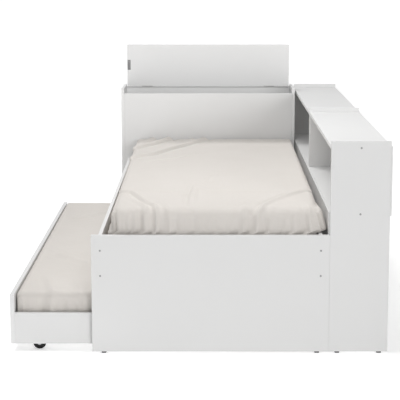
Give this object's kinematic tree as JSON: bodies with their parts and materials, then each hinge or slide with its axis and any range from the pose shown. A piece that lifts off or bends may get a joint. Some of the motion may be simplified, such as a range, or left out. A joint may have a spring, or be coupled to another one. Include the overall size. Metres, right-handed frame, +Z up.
{
  "type": "trundle bed",
  "caption": "Single bed with a mattress, a second bed rolling out on casters, a lidded headboard chest and a side case of open niches.",
  "frame": {"origin": "middle of the whole object's outline, on the floor, with the trundle drawn out 0.37 m and the lid open", "axes": "+X across the bed towards the case of niches, +Y along the bed towards the headboard, +Z up"},
  "size_m": [1.5678, 2.16, 1.1183],
  "materials": {
    "white_board": "satin",
    "pine": "matte",
    "fitted_sheet": "matte",
    "hinge_steel": "satin",
    "caster_steel": "satin",
    "wheel_plastic": "satin",
    "stay_plastic": "satin",
    "glide_plastic": "satin"
  },
  "bodies": {
    "bed": {"footboard": "white_board", "side_rail_left": "white_board", "side_rail_right": "white_board", "headboard_side_left": "white_board", "headboard_side_right": "white_board", "headboard_front": "white_board", "headboard_back": "white_board", "chest_floor": "white_board", "case_end_foot": "white_board", "case_divider": "white_board", "case_end_head": "white_board", "case_top_foot": "white_board", "case_top_head": "white_board", "case_shelf_foot": "white_board", "case_shelf_head": "white_board", "case_base_foot": "white_board", "case_base_head": "white_board", "case_upper_back_foot": "white_board", "case_upper_back_head": "white_board", "case_lower_back_foot": "white_board", "case_lower_back_head": "white_board", "slat_cleat_left": "pine", "slat_cleat_right": "pine", "slat_1": "pine", "slat_2": "pine", "slat_3": "pine", "slat_4": "pine", "slat_5": "pine", "slat_6": "pine", "mattress": "fitted_sheet", "hinge_left_fixed_leaf": "hinge_steel", "hinge_right_fixed_leaf": "hinge_steel", "footboard_glide_left": "glide_plastic", "footboard_glide_right": "glide_plastic", "headboard_glide_left": "glide_plastic", "headboard_glide_right": "glide_plastic", "case_end_foot_glide_inner": "glide_plastic", "case_end_foot_glide_outer": "glide_plastic", "case_divider_glide_inner": "glide_plastic", "case_divider_glide_outer": "glide_plastic", "case_end_head_glide_inner": "glide_plastic", "case_end_head_glide_outer": "glide_plastic"},
    "trundle": {"trundle_front": "white_board", "trundle_back": "white_board", "trundle_foot": "white_board", "trundle_head": "white_board", "trundle_base": "white_board", "trundle_mattress": "fitted_sheet", "caster_foot_front_fork": "caster_steel", "caster_foot_back_fork": "caster_steel", "caster_head_front_fork": "caster_steel", "caster_head_back_fork": "caster_steel"},
    "lid": {"lid": "white_board", "lid_stay_plate": "stay_plastic", "hinge_left_lid_leaf": "hinge_steel", "hinge_right_lid_leaf": "hinge_steel"},
    "wheel_foot_front": {"caster_foot_front_wheel": "wheel_plastic"},
    "wheel_foot_back": {"caster_foot_back_wheel": "wheel_plastic"},
    "wheel_head_front": {"caster_head_front_wheel": "wheel_plastic"},
    "wheel_head_back": {"caster_head_back_wheel": "wheel_plastic"}
  },
  "joints": [
    {"name": "trundle_slide", "type": "slide", "parent": "bed", "child": "trundle", "axis": [-1, 0, 0], "range_m": [-0.37, 0.55]},
    {"name": "lid_hinge", "type": "hinge", "parent": "bed", "child": "lid", "pos_m": [0.0351, 1.065, 0.8783], "axis": [1, 0, 0], "range_deg": [0, 90]},
    {"name": "wheel_foot_front_spin", "type": "hinge", "parent": "trundle", "child": "wheel_foot_front", "pos_m": [-0.66795, -1.019, 0.0275], "axis": [0, -1, 0], "continuous": true},
    {"name": "wheel_foot_back_spin", "type": "hinge", "parent": "trundle", "child": "wheel_foot_back", "pos_m": [0.01955, -1.019, 0.0275], "axis": [0, -1, 0], "continuous": true},
    {"name": "wheel_head_front_spin", "type": "hinge", "parent": "trundle", "child": "wheel_head_front", "pos_m": [-0.66795, 0.764, 0.0275], "axis": [0, -1, 0], "continuous": true},
    {"name": "wheel_head_back_spin", "type": "hinge", "parent": "trundle", "child": "wheel_head_back", "pos_m": [0.01955, 0.764, 0.0275], "axis": [0, -1, 0], "continuous": true}
  ],
  "couplings": [
    {"joint": "wheel_foot_front_spin", "follows": "trundle_slide", "rad_per_m": 36.364},
    {"joint": "wheel_foot_back_spin", "follows": "trundle_slide", "rad_per_m": 36.364},
    {"joint": "wheel_head_front_spin", "follows": "trundle_slide", "rad_per_m": 36.364},
    {"joint": "wheel_head_back_spin", "follows": "trundle_slide", "rad_per_m": 36.364}
  ]
}
